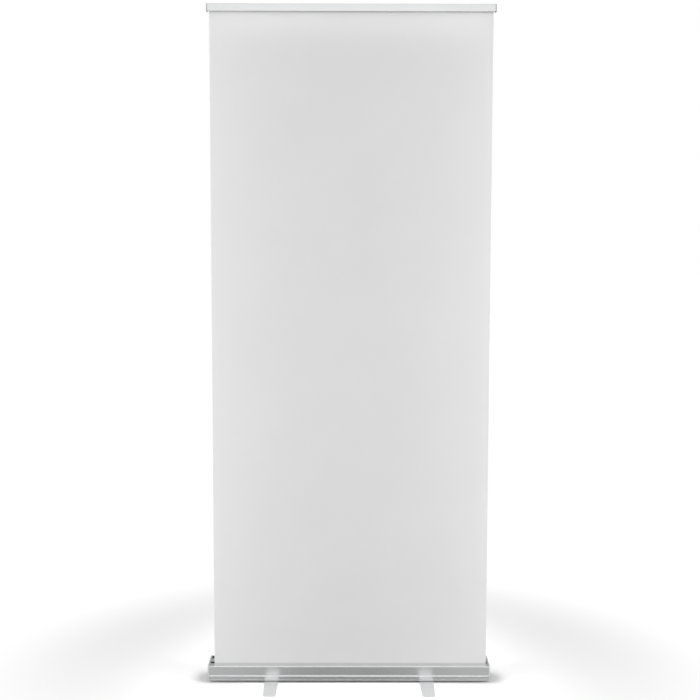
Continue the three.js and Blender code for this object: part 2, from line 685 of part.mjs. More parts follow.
footPivots.forEach((x, i) => {
  const word = ['left', 'right'][i];
  const foot = group(stand, x, 0, 0);
  piece(foot, `foot_${word}`, 'anodised', footBar());
  piece(foot, `foot_rivet_${word}`, 'steel', rivet());
  piece(foot, `foot_washer_${word}`, 'black_plastic',
    tube(RIVET_RADIUS + GAP, 9, footTop + GAP, baseBottom - GAP, 20));
  for (const [end, sign] of [['front', -1], ['rear', 1]]) {
    piece(foot, `foot_pad_${word}_${end}`, 'rubber', rod(PAD_RADIUS, 0, FOOT_UNDER - GAP, 24),
      [0, sign * (FOOT_LENGTH / 2 - PAD_FROM_TIP), 0]);
  }
});

export default stand;
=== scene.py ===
import json
import math

import bpy
import bmesh
import numpy as np
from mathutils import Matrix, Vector
from mathutils.geometry import tessellate_polygon


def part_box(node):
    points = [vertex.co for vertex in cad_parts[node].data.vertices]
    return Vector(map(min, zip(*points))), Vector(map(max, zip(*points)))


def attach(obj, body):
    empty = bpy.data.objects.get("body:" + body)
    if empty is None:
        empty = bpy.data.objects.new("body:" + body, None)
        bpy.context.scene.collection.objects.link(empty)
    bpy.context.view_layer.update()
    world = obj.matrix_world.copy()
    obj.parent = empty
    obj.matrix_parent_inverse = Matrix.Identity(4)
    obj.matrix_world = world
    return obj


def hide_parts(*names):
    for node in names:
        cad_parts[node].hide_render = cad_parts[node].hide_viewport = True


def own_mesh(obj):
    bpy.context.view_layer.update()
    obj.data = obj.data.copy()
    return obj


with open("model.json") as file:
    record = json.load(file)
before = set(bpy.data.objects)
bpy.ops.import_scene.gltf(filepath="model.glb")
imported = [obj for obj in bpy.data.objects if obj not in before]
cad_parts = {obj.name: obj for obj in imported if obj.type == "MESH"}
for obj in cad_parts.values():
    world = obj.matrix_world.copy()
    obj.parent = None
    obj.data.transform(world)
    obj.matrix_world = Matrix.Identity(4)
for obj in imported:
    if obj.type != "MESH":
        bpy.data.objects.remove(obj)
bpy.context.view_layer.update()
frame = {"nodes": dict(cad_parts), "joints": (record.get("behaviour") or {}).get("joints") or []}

# ---- Studio
# The stand faces a camera at chest height, a little under four metres away, on a white
# floor in a white room. A soft box hangs in front, and a narrow one stands at each edge.

camera = bpy.data.objects.new("camera", bpy.data.cameras.new("camera"))
camera.data.sensor_width = 36
camera.data.lens = 67.16
camera.location = (-0.0114, -3.988, 1.4285)
camera.rotation_euler = [math.radians(angle) for angle in (90 - 5.58, -0.106, -0.177)]
bpy.context.scene.collection.objects.link(camera)
bpy.context.scene.camera = camera
bpy.context.scene.view_settings.view_transform = "Standard"


class Signal:
    """One socket's value in a node tree. Python arithmetic on signals adds Math nodes."""

    def __init__(self, finish, socket):
        self.finish, self.socket = finish, socket

    def math(self, operation, first, second):
        return self.finish.node("ShaderNodeMath", {"operation": operation}, {0: first, 1: second})

    def __add__(self, other):
        return self.math("ADD", self, other)

    def __radd__(self, other):
        return self.math("ADD", other, self)

    def __sub__(self, other):
        return self.math("SUBTRACT", self, other)

    def __rsub__(self, other):
        return self.math("SUBTRACT", other, self)

    def __mul__(self, other):
        return self.math("MULTIPLY", self, other)

    def __rmul__(self, other):
        return self.math("MULTIPLY", other, self)


class Finish:
    """A node tree and one method, node, that adds any node to it."""

    def __init__(self, tree):
        self.tree = tree

    def feed(self, socket, value):
        if isinstance(value, Signal):
            self.tree.links.new(value.socket, socket)
        else:
            socket.default_value = value

    def node(self, kind, settings=None, sockets=None, output=0):
        """Adds a node of a kind, with its settings first and then its sockets' values or links."""
        made = self.tree.nodes.new(kind)
        for name, value in (settings or {}).items():
            if name == "stops":
                for element, (place, color) in zip(made.color_ramp.elements, value):
                    element.position, element.color = place, color
            else:
                setattr(made, name, value)
        for name, value in (sockets or {}).items():
            self.feed(made.inputs[name], value)
        return Signal(self, made.outputs[output]) if len(made.outputs) else made


# The room: white where the camera sees it. For the light it gives, it is brightest in
# front of the stand, so that metal turned to the front is light.
world = bpy.data.worlds.new("room")
bpy.context.scene.world = world
world.use_nodes = True
world.node_tree.nodes.clear()
room = Finish(world.node_tree)
direction = room.node("ShaderNodeTexCoord", output="Generated")
towards_back = room.node("ShaderNodeSeparateXYZ", sockets={0: direction}, output="Y")
level = room.node("ShaderNodeMapRange", {"interpolation_type": "SMOOTHSTEP"}, {
    "Value": towards_back, "From Min": -1.0, "From Max": 0.0, "To Min": 1.04, "To Max": 0.48})
seen = room.node("ShaderNodeLightPath", output="Is Camera Ray")
lit = room.node("ShaderNodeBackground", {}, {"Color": (1, 1, 1, 1), "Strength": level})
plain = room.node("ShaderNodeBackground", {}, {"Color": (1, 1, 1, 1), "Strength": 1.0})
shown = room.node("ShaderNodeMixShader", {}, {0: seen, 1: lit, 2: plain})
room.node("ShaderNodeOutputWorld", {}, {"Surface": shown})


def soft_box(name, place, target, size, power):
    """A rectangular area light at a place, turned to face its target."""
    light = bpy.data.lights.new(name, "AREA")
    light.shape = "RECTANGLE"
    light.size, light.size_y = size
    light.energy = power
    holder = bpy.data.objects.new(name, light)
    holder.location = place
    holder.rotation_euler = (Vector(target) - Vector(place)).to_track_quat("-Z", "Y").to_euler()
    holder.visible_camera = False
    bpy.context.scene.collection.objects.link(holder)
    return holder


def choose(role, box, things, state="INCLUDE"):
    """Lets a light shine on (receiver) or be stopped by (blocker) only some things, or all but them."""
    group = bpy.data.collections.new(f"{role}_{box.name}")
    for thing in things:
        group.objects.link(thing)
    for member in group.collection_objects:
        member.light_linking.link_state = state
    setattr(box.light_linking, f"{role}_collection", group)


edge_boxes = [
    soft_box("soft_box_left", (-0.78, -0.30, 1.26), (-0.30, 0.0, 1.26), (0.12, 2.4), 2.1),
    soft_box("soft_box_right", (0.78, -0.30, 1.26), (0.30, 0.0, 1.26), (0.12, 2.4), 2.1)]
soft_box("soft_box_front", (0.0, -4.8, 1.3), (0.0, 0.0, 1.3), (2.4, 1.2), 24)
film_strip = soft_box("soft_box_under_rail", (0.0, -0.07, 2.02), (0.0, 0.0, 2.05), (0.8, 0.02), 0.03)
overhead = soft_box("soft_box_overhead", (0.0, -0.9, 3.6), (0.0, 0.0, 1.0), (1.8, 0.9), 4)

# The floor: a white sheet to the eye. To the light it is a dark runner in front of the
# stand, grey further out to the sides, so that the base's front mirrors something dark.
floor_mesh = bpy.data.meshes.new("floor")
FLOOR_REACH = 30         # metres to each side
floor_mesh.from_pydata(
    [(x * FLOOR_REACH, y * FLOOR_REACH, 0) for x, y in ((-1, -1), (1, -1), (1, 1), (-1, 1))],
    [], [(0, 1, 2, 3)])
floor = bpy.data.objects.new("floor", floor_mesh)
bpy.context.scene.collection.objects.link(floor)
paper = bpy.data.materials.new("studio_floor")
paper.use_nodes = True
paper.node_tree.nodes.clear()
ground = Finish(paper.node_tree)
spot = ground.node("ShaderNodeTexCoord", output="Object")
reach = ground.node("ShaderNodeVectorMath", {"operation": "LENGTH"}, {0: spot}, output="Value")
sideways = ground.node("ShaderNodeSeparateXYZ", sockets={0: spot}, output="X")
from_middle = ground.node("ShaderNodeMath", {"operation": "ABSOLUTE"}, {0: sideways})
runner = ground.node("ShaderNodeMapRange", {"interpolation_type": "SMOOTHSTEP"}, {
    "Value": from_middle, "From Min": 0.05, "From Max": 0.60, "To Min": 0.0, "To Max": 1.0})
carpet = ground.node("ShaderNodeMix", {"data_type": "RGBA"}, {
    "Factor": runner, 6: (0.17, 0.17, 0.17, 1), 7: (0.38, 0.38, 0.38, 1)}, output=2)
FLOOR_LIFT = 0.72        # makes the unshadowed paper read as white
near = ground.node("ShaderNodeBsdfDiffuse", {}, {"Color": (FLOOR_LIFT, FLOOR_LIFT, FLOOR_LIFT, 1)})
far = ground.node("ShaderNodeEmission", {}, {"Color": (1, 1, 1, 1), "Strength": 1.02})
fade = ground.node("ShaderNodeMapRange", {"interpolation_type": "SMOOTHSTEP"}, {
    "Value": reach, "From Min": 0.65, "From Max": 1.3, "To Min": 0.0, "To Max": 1.0})
bright = ground.node("ShaderNodeMixShader", {}, {0: fade, 1: near, 2: far})
dull = ground.node("ShaderNodeBsdfDiffuse", {}, {"Color": carpet})
facing = ground.node("ShaderNodeLightPath", output="Is Camera Ray")
ground.node("ShaderNodeOutputMaterial", {}, {
    "Surface": ground.node("ShaderNodeMixShader", {}, {0: facing, 1: dull, 2: bright})})
floor_mesh.materials.append(paper)

# The edges' soft boxes light the stand and not the paper, so they wash out no shadow. Three
# low lights light the paper alone, and throw the shadow that lies beside each end.
for box in edge_boxes:
    choose("receiver", box, [floor], "EXCLUDE")
paper_lights = [
    soft_box("paper_light_left", (-2.4, -1.6, 1.1), (0.0, 0.0, 0.0), (0.9, 0.9), 48),
    soft_box("paper_light_middle", (0.0, 0.08, 0.5), (0.0, 0.08, 0.0), (0.4, 1.3), 8),
    soft_box("paper_light_right", (2.4, -1.6, 1.1), (0.0, 0.0, 0.0), (0.9, 0.9), 48)]
for box in paper_lights:
    choose("receiver", box, [floor])

# ---- Base housing
# One aluminium extrusion, silver anodised, sawn to length: the roller's chamber behind
# the front face and its bead, a closed box for the mast, and an open channel behind.


def finish_material(name, paint):
    """Makes a material whose paint function returns the values of its shader's sockets."""
    material = bpy.data.materials.new(name)
    material.use_nodes = True
    finish = Finish(material.node_tree)
    shader = material.node_tree.nodes["Principled BSDF"]
    for socket, value in paint(finish).items():
        finish.feed(shader.inputs[socket], value)
    return material


def place_on_piece(finish, stretch):
    """The piece's own coordinates in metres, multiplied along each axis by stretch."""
    where = finish.node("ShaderNodeTexCoord", output="Object")
    return finish.node("ShaderNodeVectorMath", {"operation": "MULTIPLY"}, {0: where, 1: stretch})


def noise(finish, where, scale, detail=2.0, roughness=0.5):
    return finish.node("ShaderNodeTexNoise", {}, {
        "Vector": where, "Scale": scale, "Detail": detail, "Roughness": roughness})


def blend_colors(finish, amount, low, high):
    return finish.node("ShaderNodeMix", {"data_type": "RGBA"}, {
        "Factor": amount, 6: (*low, 1), 7: (*high, 1)}, output=2)


def anodised(line_stretch):
    """Satin anodised aluminium: drawn lines along the bar, a cloudy etch, a few light rubs."""

    def paint(finish):
        lines = noise(finish, place_on_piece(finish, line_stretch), 1.0, 4.0, 0.6)
        cloud = noise(finish, place_on_piece(finish, (1, 1, 1)), 9.0, 3.0)
        etch = noise(finish, place_on_piece(finish, (1, 1, 1)), 2600.0, 1.0)
        rubs = noise(finish, place_on_piece(finish, (1, 1, 1)), 70.0, 5.0, 0.7)
        worn = finish.node("ShaderNodeMapRange", {}, {
            "Value": rubs, "From Min": 0.6, "From Max": 0.78, "To Min": 0.0, "To Max": 1.0})
        tone = lines * 0.6 + cloud * 0.4
        rough = 0.15 + lines * 0.10 + cloud * 0.04 - worn * 0.03
        relief = lines * 0.75 + etch * 0.25
        bump = finish.node("ShaderNodeBump", {}, {
            "Strength": 0.025, "Distance": 0.0002, "Height": relief})
        return {
            "Base Color": blend_colors(finish, tone, (0.68, 0.685, 0.69), (0.77, 0.775, 0.78)),
            "Metallic": 1.0,
            "Roughness": rough,
            "Normal": bump,
        }

    return paint


LINES_ALONG_X = (1.5, 2200, 2200)
LINES_ALONG_Z = (2200, 2200, 3)
extruded = finish_material("anodised_extrusion", anodised(LINES_ALONG_X))


def filleted(corners, steps=5):
    """An outline from (a, b, radius) corners in millimetres: each corner is replaced by the
    arc of its radius that touches both sides, its ends set back by radius / tan(half angle)."""
    corners = np.array(corners, float)
    outline = []
    for before, (a, b, radius), after in zip(np.roll(corners, 1, 0), corners, np.roll(corners, -1, 0)):
        point = np.array([a, b])
        to_last, to_next = before[:2] - point, after[:2] - point
        to_last /= np.linalg.norm(to_last)
        to_next /= np.linalg.norm(to_next)
        half = math.acos(np.clip(to_last @ to_next, -1, 1)) / 2
        if radius <= 0 or half > math.radians(89):
            outline.append(point[None])
            continue
        middle = to_last + to_next
        centre = point + middle / np.linalg.norm(middle) * radius / math.sin(half)
        start = point + to_last * radius / math.tan(half) - centre
        end = point + to_next * radius / math.tan(half) - centre
        turn = math.atan2(start[0] * end[1] - start[1] * end[0], start @ end)
        angles = turn * np.linspace(0, 1, steps + 1)
        c, s = np.cos(angles), np.sin(angles)
        outline.append(centre + np.stack([start[0] * c - start[1] * s,
                                          start[0] * s + start[1] * c], 1))
    return np.vstack(outline)


def circle(a, b, radius, sides):
    """Points a + radius cos t, b + radius sin t, for t once round."""
    t = np.linspace(0, 2 * math.pi, sides, endpoint=False)
    return np.stack([a + radius * np.cos(t), b + radius * np.sin(t)], 1)


def band(count, rings, first=0):
    """Quads between closed rings of count points each, one ring after another."""
    across = np.arange(count)
    ring = np.arange(rings - 1)[:, None] * count + first
    following = (across + 1) % count
    quads = np.stack([ring + across, ring + following,
                      ring + count + following, ring + count + across], -1)
    return quads.reshape(-1, 4).tolist()


def make_mesh(name, points, faces):
    """A mesh from points in millimetres, its doubles merged and its faces turned outwards."""
    mesh = bpy.data.meshes.new(name)
    mesh.from_pydata((np.asarray(points, float) * 0.001).tolist(), [], faces)
    work = bmesh.new()
    work.from_mesh(mesh)
    bmesh.ops.remove_doubles(work, verts=work.verts, dist=1e-7)
    bmesh.ops.recalc_face_normals(work, faces=work.faces)
    work.to_mesh(mesh)
    work.free()
    return mesh


def applied(piece):
    """The mesh that a piece's modifiers make of it, taken in place of them."""
    bpy.context.view_layer.update()
    shown = piece.evaluated_get(bpy.context.evaluated_depsgraph_get())
    mesh = bpy.data.meshes.new_from_object(shown)
    piece.modifiers.clear()
    return mesh


def shade(piece):
    """Smooth shading, broken at edges sharper than 32 degrees. Each corner's normal is weighed
    by face area, so a broad flat stays flat right up to the small rounding beside it."""
    piece.data.polygons.foreach_set("use_smooth", np.ones(len(piece.data.polygons), bool))
    piece.data.set_sharp_from_angle(angle=math.radians(32))
    weighing = piece.modifiers.new("flats", "WEIGHTED_NORMAL")
    weighing.mode, weighing.keep_sharp = "FACE_AREA", True
    piece.data = applied(piece)


def settle(piece, body, material, replaced=()):
    """Gives a piece its finish, joins it to the body, and hides the CAD nodes that it stands for."""
    if piece.name not in bpy.context.scene.collection.objects:
        bpy.context.scene.collection.objects.link(piece)
    piece.data.materials.clear()
    piece.data.materials.append(material)
    shade(piece)
    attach(piece, body)
    if replaced:
        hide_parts(*replaced)
    return piece


def side_normals(loop):
    """Unit normals of a closed outline, each across the line between its point's neighbours."""
    along = np.roll(loop, -1, 0) - np.roll(loop, 1, 0)
    normal = np.stack([along[:, 1], -along[:, 0]], 1)
    return normal / np.linalg.norm(normal, axis=1, keepdims=True)


def section_solid(name, loops, stations):
    """A section carried along X. loops are closed outlines in Y and Z, the outer one first,
    and each station (x, inset) repeats them at x, moved inwards by inset along their normals."""
    points, faces, starts = np.empty((0, 3)), [], []
    for number, loop in enumerate(loops):
        area = np.sum(loop[:, 0] * np.roll(loop[:, 1], -1) - loop[:, 1] * np.roll(loop[:, 0], -1))
        outward = side_normals(loop) * np.sign(area) * (1 if number == 0 else -1)
        starts.append(len(points))
        faces += band(len(loop), len(stations), len(points))
        points = np.vstack([points, *[np.column_stack([np.full(len(loop), x), loop - outward * inset])
                                      for x, inset in stations]])
    for ring in (0, len(stations) - 1):
        rims = [start + ring * len(loop) + np.arange(len(loop)) for start, loop in zip(starts, loops)]
        outlines = [[Vector((0, *points[i, 1:])) for i in rim] for rim in rims]
        corners = np.concatenate(rims).tolist()
        faces += [[corners[i] for i in face] for face in tessellate_polygon(outlines)]
    return bpy.data.objects.new(name, make_mesh(name, points, faces))


def turned_mesh(name, profile, centre, along="Z", sides=64):
    """A closed profile of (radius, height) turned about Z: x = r cos t, y = r sin t, z = height.
    along="X" lays its heights along X. Either way it is moved to centre."""
    t = np.linspace(0, 2 * math.pi, sides, endpoint=False)
    radius, rise = np.array([*profile, profile[0]], float).T
    rings = np.stack([radius[:, None] * np.cos(t), radius[:, None] * np.sin(t),
                      np.broadcast_to(rise[:, None], (len(rise), sides))], -1).reshape(-1, 3)
    if along == "X":
        rings = rings[:, [2, 0, 1]]
    return make_mesh(name, rings + np.array(centre, float), band(sides, len(rise)))


def cut(piece, *cutters):
    """Takes the cutters' meshes out of a piece with Boolean modifiers, and applies them."""
    if piece.name not in bpy.context.scene.collection.objects:
        bpy.context.scene.collection.objects.link(piece)
    tools = []
    for mesh in cutters:
        tool = bpy.data.objects.new("cutter", mesh)
        bpy.context.scene.collection.objects.link(tool)
        tools.append(tool)
        modifier = piece.modifiers.new("cut", "BOOLEAN")
        modifier.operation, modifier.solver, modifier.object = "DIFFERENCE", "EXACT", tool
    piece.data = applied(piece)
    for tool in tools:
        bpy.data.objects.remove(tool)
    return piece


def millimetres(node):
    """The lowest and highest corner of a CAD node, in millimetres."""
    low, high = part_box(node)
    return np.array(low) * 1000, np.array(high) * 1000


def bore(centre, radius, ends, along="Z"):
    """A cutter: a cylinder about centre, between two ends given in either order."""
    low, high = sorted(ends)
    profile = [(0, low), (radius, low), (radius, high), (0, high)]
    return turned_mesh("bore", profile, centre, along, 48)


base_low, base_high = millimetres("base_housing")
FRONT, LIP_END, BOX_FRONT, BOX_BACK = -40, -11, 7, 33
WALL = 2
under, top, back = base_low[2], base_high[2], base_high[1]
inside, ceiling = under + WALL, top - WALL
PORT = 6.5               # the screw ports fill the corners of the chamber and of the box
BEAD_MIDDLE = under + 14.5
bead_angles = np.radians(np.linspace(80, -80, 9))
bead = [(FRONT - 3 * math.cos(a), BEAD_MIDDLE + 3 * math.sin(a), 0) for a in bead_angles]
chamber = filleted([
    (LIP_END, top, 0.9), (FRONT, top, 2.6), (FRONT, BEAD_MIDDLE + 3.1, 0.3), *bead,
    (FRONT, BEAD_MIDDLE - 3.1, 0.3), (FRONT, under + 3.1, 0.3),
    (FRONT - 1.6, under + 1.9, 0.4), (FRONT - 1.6, under, 0.7),
    (back, under, 1.5), (back, top, 0.95), (back - WALL, top, 0.95), (back - WALL, inside, 1.2),
    (BOX_BACK, inside, 1.2), (BOX_BACK, top, 0.8), (BOX_FRONT, top, 0.8), (BOX_FRONT, inside, 1.0),
    (FRONT + WALL + PORT, inside, 0.6), (FRONT + WALL + PORT, inside + PORT, 2.8),
    (FRONT + WALL, inside + PORT, 0.6), (FRONT + WALL, ceiling, 1.6),
    (LIP_END - 1.8, ceiling, 0.5), (LIP_END - 1.8, ceiling - 1, 0.3), (LIP_END, ceiling - 1, 0.7)])
mast_box = filleted([
    (BOX_FRONT + WALL, inside, 0.8), (BOX_BACK - WALL - PORT, inside, 0.6),
    (BOX_BACK - WALL - PORT, inside + PORT, 2.8), (BOX_BACK - WALL, inside + PORT, 0.6),
    (BOX_BACK - WALL, ceiling, 0.8), (BOX_FRONT + WALL, ceiling, 0.8)])
screw_places = {}
for word in ("front", "rear"):
    low, high = millimetres(f"cap_screw_left_{word}")
    screw_places[word] = (low + high)[1:] / 2
ports = [circle(*place, 1.6, 24) for place in screw_places.values()]
housing = section_solid("housing", [chamber, mast_box, *ports],
                        [(base_low[0], 0), (base_high[0], 0)])
mast_low, mast_high = millimetres("mast_lower_tube")
MAST_X, MAST_Y = (mast_low + mast_high)[:2] / 2
RIVET_HOLE = 3.7         # its radius
foot_places = {}
for word in ("left", "right"):
    low, high = millimetres(f"foot_rivet_{word}")
    foot_places[word] = (low + high)[:2] / 2
cut(housing,
    bore((MAST_X, MAST_Y, 0), 9.9, (ceiling - 3, top + 3)),
    *[bore((*place, 0), RIVET_HOLE, (under - 3, inside + 3)) for place in foot_places.values()])
settle(housing, "base", extruded, ["base_housing"])

# ---- End caps
# A light silver plate closes each end of the base. It is a zinc casting, sprayed, its
# outer edge rounded, with two sunk screws and the seat of the roller's axle.


def sprayed(dark, light):
    """Metallic silver paint: fine flake, the faint ripple of the spray, dull in patches."""

    def paint(finish):
        where = place_on_piece(finish, (1, 1, 1))
        flake = noise(finish, where, 3800.0, 1.0)
        ripple = noise(finish, where, 420.0, 2.0)
        patch = noise(finish, where, 28.0, 3.0)
        bump = finish.node("ShaderNodeBump", {}, {
            "Strength": 0.15, "Distance": 0.0003, "Height": flake * 0.3 + ripple * 0.7})
        return {
            "Base Color": blend_colors(finish, flake * 0.7 + patch * 0.3, dark, light),
            "Metallic": 0.35,
            "Roughness": 0.38 + patch * 0.12,
            "Coat Weight": 0.12,
            "Normal": bump,
        }

    return paint


def rounded_end(outer, side, rounding):
    """The stations of a quarter round that closes a plate at outer, towards side:
    x = outer - side r (1 - sin a), and inset = r (1 - cos a)."""
    return [(outer - side * rounding * (1 - math.sin(a)), rounding * (1 - math.cos(a)))
            for a in np.linspace(0, math.pi / 2, 6)]


silver_spray = finish_material("sprayed_silver", sprayed((0.60, 0.605, 0.61), (0.78, 0.785, 0.79)))
roller_low, roller_high = millimetres("roller_tube")
AXLE = (roller_low + roller_high)[1:] / 2
caps = []
for side, word, axle_hole in ((-1, "left", 4.3), (1, "right", 3.3)):
    cap_low, cap_high = millimetres(f"end_cap_{word}")
    inner, outer = (cap_high[0], cap_low[0]) if side < 0 else (cap_low[0], cap_high[0])
    silhouette = filleted([
        (cap_high[1], cap_high[2], 5.5), (FRONT - 0.8, cap_high[2], 5.5),
        (FRONT - 0.8, BEAD_MIDDLE + 4.6, 0.8), (cap_low[1], BEAD_MIDDLE + 3.2, 1.6),
        (cap_low[1], BEAD_MIDDLE - 3.2, 1.6), (FRONT - 0.8, BEAD_MIDDLE - 4.6, 0.8),
        (FRONT - 0.8, cap_low[2], 1.4), (cap_high[1], cap_low[2], 3.5)], 8)
    cap = section_solid(f"cap_{word}", [silhouette], [
        (inner, 0.25), (inner + side * 0.25, 0), *rounded_end(outer, side, 1.3)])
    past = outer + side * 2
    cut(cap, bore((0, *AXLE), axle_hole, (inner - side, past), "X"),
        *[bore((0, *place), 3.75, (outer - side * 2.4, past), "X") for place in screw_places.values()],
        *[bore((0, *place), 1.65, (inner - side, past), "X") for place in screw_places.values()])
    caps.append(settle(cap, "base", silver_spray, [f"end_cap_{word}"]))
for box in paper_lights:
    choose("blocker", box, [housing, *caps])

# ---- Screws, rivets, pin and arbor
# Small steel parts, bright zinc plated. They keep their turned shapes from the frame.


def zinc(finish):
    """Bright zinc over turned steel: faint cloud, fine pits, a slightly blue tint."""
    where = place_on_piece(finish, (1, 1, 1))
    cloud = noise(finish, where, 160.0, 3.0)
    pits = noise(finish, where, 2400.0, 1.0)
    bump = finish.node("ShaderNodeBump", {}, {
        "Strength": 0.1, "Distance": 0.0002, "Height": pits})
    return {
        "Base Color": blend_colors(finish, cloud, (0.50, 0.52, 0.55), (0.66, 0.67, 0.69)),
        "Metallic": 1.0,
        "Roughness": 0.24 + cloud * 0.16,
        "Normal": bump,
    }


bright_zinc = finish_material("bright_zinc", zinc)


def refinish(material, *nodes):
    """Paints CAD nodes that keep their own shape."""
    for node in nodes:
        for holder in frame["nodes"][node].material_slots:
            holder.material = material


refinish(bright_zinc, "cap_screw_left_front", "cap_screw_left_rear", "cap_screw_right_front",
         "cap_screw_right_rear", "socket_screw_left", "socket_screw_right", "roller_pin",
         "spring_arbor")

# ---- Roller
# A drawn aluminium tube on two acetal plugs. The film left on it is a few turns thick,
# so its ends show the edges of the turns.

tube_radius = (roller_high[2] - roller_low[2]) / 2
roller = bpy.data.objects.new("roller", turned_mesh("roller", [
    (tube_radius - 1.2, roller_low[0]), (tube_radius - 0.2, roller_low[0]),
    (tube_radius, roller_low[0] + 0.3), (tube_radius, roller_high[0] - 0.3),
    (tube_radius - 0.2, roller_high[0]), (tube_radius - 1.2, roller_high[0])],
    (0, *AXLE), "X"))
settle(roller, "roller", extruded, ["roller_tube"])


def printed_film(finish):
    """Blank polyester film: a soft matt coat with a pebble too fine to see singly, very
    slight cloud in the white, and a light grey back."""
    where = place_on_piece(finish, (1, 1, 1))
    pebble = noise(finish, where, 1500.0, 2.0)
    cloud = noise(finish, where, 5.0, 3.0)
    specks = noise(finish, where, 55.0, 2.0)
    speck = finish.node("ShaderNodeMapRange", {}, {
        "Value": specks, "From Min": 0.80, "From Max": 0.86, "To Min": 0.0, "To Max": 0.25})
    side = finish.node("ShaderNodeAttribute", {"attribute_name": "back_face"}, output="Fac")
    white = blend_colors(finish, cloud, (0.80, 0.80, 0.80), (0.84, 0.84, 0.84))
    dusty = finish.node("ShaderNodeMix", {"data_type": "RGBA"}, {
        "Factor": speck, 6: white, 7: (0.6, 0.6, 0.6, 1)}, output=2)
    color = finish.node("ShaderNodeMix", {"data_type": "RGBA"}, {
        "Factor": side, 6: dusty, 7: (0.56, 0.565, 0.57, 1)}, output=2)
    bump = finish.node("ShaderNodeBump", {}, {
        "Strength": 0.08, "Distance": 0.0001, "Height": pebble})
    return {
        "Base Color": color,
        "Roughness": 0.52 + cloud * 0.08,
        "Normal": bump,
    }


blank_film = finish_material("blank_film", printed_film)
wound_low, wound_high = millimetres("film_winding")
wound_radius = (wound_high[2] - wound_low[2]) / 2
TURN, STAGGER = 0.3, 0.12        # one turn's thickness, and how far every other turn stands back
edges = [(TURN * number + part, STAGGER * (number % 2)) for number in range(3) for part in (0, 0.28)]
film_edges = [(wound_radius - depth, wound_high[0] - inward) for depth, inward in edges]
film_edges += [(wound_radius - depth, wound_low[0] + inward) for depth, inward in edges[::-1]]
winding = bpy.data.objects.new("winding", turned_mesh("winding", film_edges, (0, *AXLE), "X"))
settle(winding, "roller", blank_film, ["film_winding"])


def moulded(name, dark, light, rough):
    """Moulded plastic: a spark-eroded grain, faint flow marks, and a polish where it is rubbed."""

    def paint(finish):
        where = place_on_piece(finish, (1, 1, 1))
        grain = noise(finish, where, 1900.0, 2.0)
        flow = noise(finish, where, 40.0, 3.0)
        bump = finish.node("ShaderNodeBump", {}, {
            "Strength": 0.25, "Distance": 0.0003, "Height": grain})
        return {
            "Base Color": blend_colors(finish, grain * 0.4 + flow * 0.6, dark, light),
            "Roughness": rough + flow * 0.14,
            "Normal": bump,
        }

    return finish_material(name, paint)


acetal = moulded("grey_acetal", (0.20, 0.21, 0.22), (0.30, 0.31, 0.32), 0.38)
refinish(acetal, "roller_plug_left", "roller_plug_right", "spring_anchor")

# ---- Torsion spring
# The roller's motor: one layer of spring wire coiled round the arbor, its turns just apart.

spring_low, spring_high = millimetres("torsion_spring")
WIRE, PITCH, WIRE_SIDES, STEPS_A_TURN = 0.95, 2.55, 8, 16
coil_radius = (spring_high[2] - spring_low[2]) / 2 - WIRE
travel = spring_high[0] - spring_low[0] - 2 * WIRE
turns = travel / PITCH


def swept_coil(radius, length, count):
    """A circle of wire carried along a helix: the centre is (start + length s, r cos a, r sin a)
    with a = 2 pi count s, and the circle is spanned by the radial and the axial direction."""
    s = np.linspace(0, 1, int(count * STEPS_A_TURN))[:, None]
    a = 2 * math.pi * count * s
    b = np.linspace(0, 2 * math.pi, WIRE_SIDES, endpoint=False)[None]
    reach = radius + WIRE * np.cos(b)
    grid = np.stack([length * s + WIRE * np.sin(b), reach * np.cos(a), reach * np.sin(a)], -1)
    rows = len(s)
    faces = band(WIRE_SIDES, rows)
    faces += [list(range(WIRE_SIDES)), list(range((rows - 1) * WIRE_SIDES, rows * WIRE_SIDES))]
    return grid.reshape(-1, 3), faces


coil_points, coil_faces = swept_coil(coil_radius, travel, turns)
coil_points = coil_points + np.array([spring_low[0] + WIRE, *AXLE])
spring = bpy.data.objects.new("spring", make_mesh("spring", coil_points, coil_faces))
settle(spring, "base", bright_zinc, ["torsion_spring"])

# ---- Slot wiper and leader
# Black felt glued under the lip wipes the film, a second strip lines the slot's rear wall,
# and a leader of the film's own stock ties the film to the roller.


def felt(finish):
    """Pressed wool: a fine pile, with painted shade that darkens the colour in its hollows."""
    where = place_on_piece(finish, (1, 1, 1))
    pile_and_hollow_shade = noise(finish, where, 1600.0, 6.0, 0.75)
    bump = finish.node("ShaderNodeBump", {}, {
        "Strength": 0.8, "Distance": 0.0006, "Height": pile_and_hollow_shade})
    return {
        # painted shade: the pile's height also darkens the colour where it is low
        "Base Color": blend_colors(finish, pile_and_hollow_shade, (0.006, 0.006, 0.007), (0.022, 0.022, 0.023)),
        "Roughness": 0.95,
        "Normal": bump,
    }


refinish(finish_material("dark_felt", felt), "slot_wiper", "slot_felt")
refinish(blank_film, "leader_film")

# ---- Banner film
# A blank polyester film, 0.3 mm thick, stretched between the roller and the clamp rail.
# It is flat where it is held, and between them its free edges stand back a little.

film_low, film_high = millimetres("banner_film")
rail_low, rail_high = millimetres("rail_shell")
width, length = (film_high - film_low)[[0, 2]]
plane = (film_high + film_low)[1] / 2
COLUMNS, ROWS = 96, 160
u = np.linspace(0, 1, COLUMNS)[None]
v = np.linspace(0, 1, ROWS)[:, None]
rise = film_low[2] + length * v
HELD = 160               # of its height, from the slot and from the rail, where it flattens
EDGE_LIFT, EDGE_REACH = 2.0, 14
WAVE = 0.25
